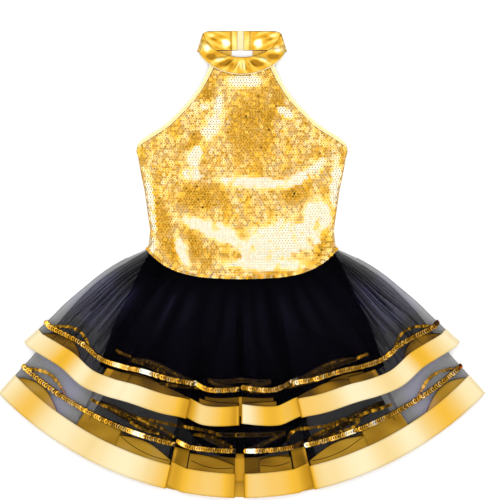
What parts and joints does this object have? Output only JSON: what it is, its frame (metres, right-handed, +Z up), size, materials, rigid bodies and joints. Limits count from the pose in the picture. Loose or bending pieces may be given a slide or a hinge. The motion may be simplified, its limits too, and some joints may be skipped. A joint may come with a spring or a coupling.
{
  "type": "ballet tutu dress",
  "caption": "Child's halter-neck ballet dress laid flat on its back: sequin bodice, foil collar and a layered net tutu skirt edged with gold ribbon.",
  "frame": {"origin": "centre of the dress's outline on the table that it lies on", "axes": "+X across the skirt to the picture's right, +Y from the hem up to the collar, +Z up from the table, out of the front of the dress"},
  "size_m": [0.6804, 0.6526, 0.0269],
  "materials": {
    "black_net": "fine stiff net, matt, the light passes through it",
    "black_lining": "matt woven",
    "gold_satin_ribbon": "satin",
    "gold_sequin_braid": "glossy sequins",
    "gold_sequin_cloth": "glossy sequins",
    "gold_foil_cloth": "glossy foil",
    "pale_gold_binding": "satin",
    "cream_tape": "matt woven"
  },
  "bodies": {
    "root": {"armhole_binding_left": "pale_gold_binding", "armhole_binding_right": "pale_gold_binding", "bodice_back": "gold_sequin_cloth", "bodice_front": "gold_sequin_cloth", "collar": "gold_foil_cloth", "collar_underlap": "cream_tape", "inner_skirt": "black_lining", "lower_ribbon": "gold_satin_ribbon", "lower_sequin_braid": "gold_sequin_braid", "lower_tier": "black_net", "upper_ribbon": "gold_satin_ribbon", "upper_sequin_braid": "gold_sequin_braid", "upper_tier": "black_net"}
  },
  "joints": []
}
